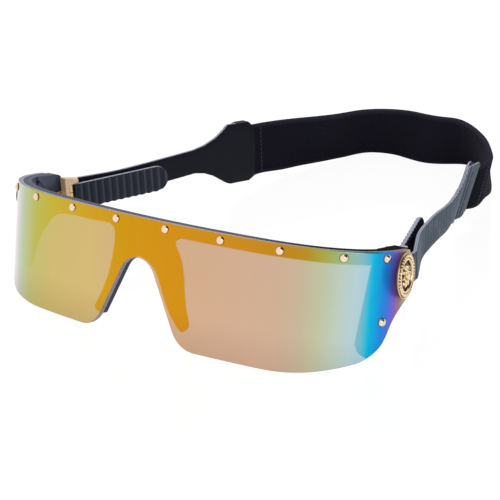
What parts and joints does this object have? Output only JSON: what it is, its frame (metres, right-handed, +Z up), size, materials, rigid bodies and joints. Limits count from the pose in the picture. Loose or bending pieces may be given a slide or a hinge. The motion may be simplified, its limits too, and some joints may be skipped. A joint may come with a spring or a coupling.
{
  "type": "sunglasses",
  "caption": "Wraparound sunglasses with one mirrored shield lens, short folding temples and a soft rubber and webbing strap that passes behind the head.",
  "frame": {"origin": "middle of the bounding box at the table, with the glasses lying on the lens's lower edge and the rear of the strap", "axes": "+X to the wearer's left, -Y to where the lens faces, +Z up from the table"},
  "size_m": [0.1506, 0.1618, 0.0363],
  "materials": {
    "lens": "iridescent mirror coating",
    "frame": "satin",
    "pad": "matte",
    "gold": "polished pale gold plate",
    "steel": "bright",
    "rubber": "ribbed, matte",
    "webbing": "woven elastic",
    "thread": "sewing thread"
  },
  "bodies": {
    "frame": {"shield_lens": "lens", "inner_frame": "frame", "nose_pad_left": "pad", "nose_pad_right": "pad", "lens_rivets": "gold", "medallion_left": "gold", "medallion_right": "gold", "medallion_nuts": "gold", "hinge_block_left": "gold", "hinge_block_right": "gold", "hinge_screws": "steel"},
    "temple_left": {"hinge_leaf_left": "gold", "temple_core_left": "steel", "temple_grip_left": "rubber"},
    "temple_right": {"hinge_leaf_right": "gold", "temple_core_right": "steel", "temple_grip_right": "rubber"},
    "strap": {"strap_arm_left": "rubber", "strap_arm_right": "rubber", "elastic_strap": "webbing", "strap_stitches": "thread"}
  },
  "joints": [
    {"name": "temple_left_fold", "type": "hinge", "parent": "frame", "child": "temple_left", "pos_m": [0.06503, -0.03776, 0.02167], "axis": [0, 0.0576, 0.9983], "range_deg": [0, 68]},
    {"name": "temple_right_fold", "type": "hinge", "parent": "frame", "child": "temple_right", "pos_m": [-0.06503, -0.03776, 0.02167], "axis": [0, -0.0576, -0.9983], "range_deg": [0, 68]},
    {"name": "strap_swing", "type": "hinge", "parent": "frame", "child": "strap", "pos_m": [0, -0.04654, 0.02217], "axis": [1, 0, 0], "range_deg": [-5, 7]}
  ]
}
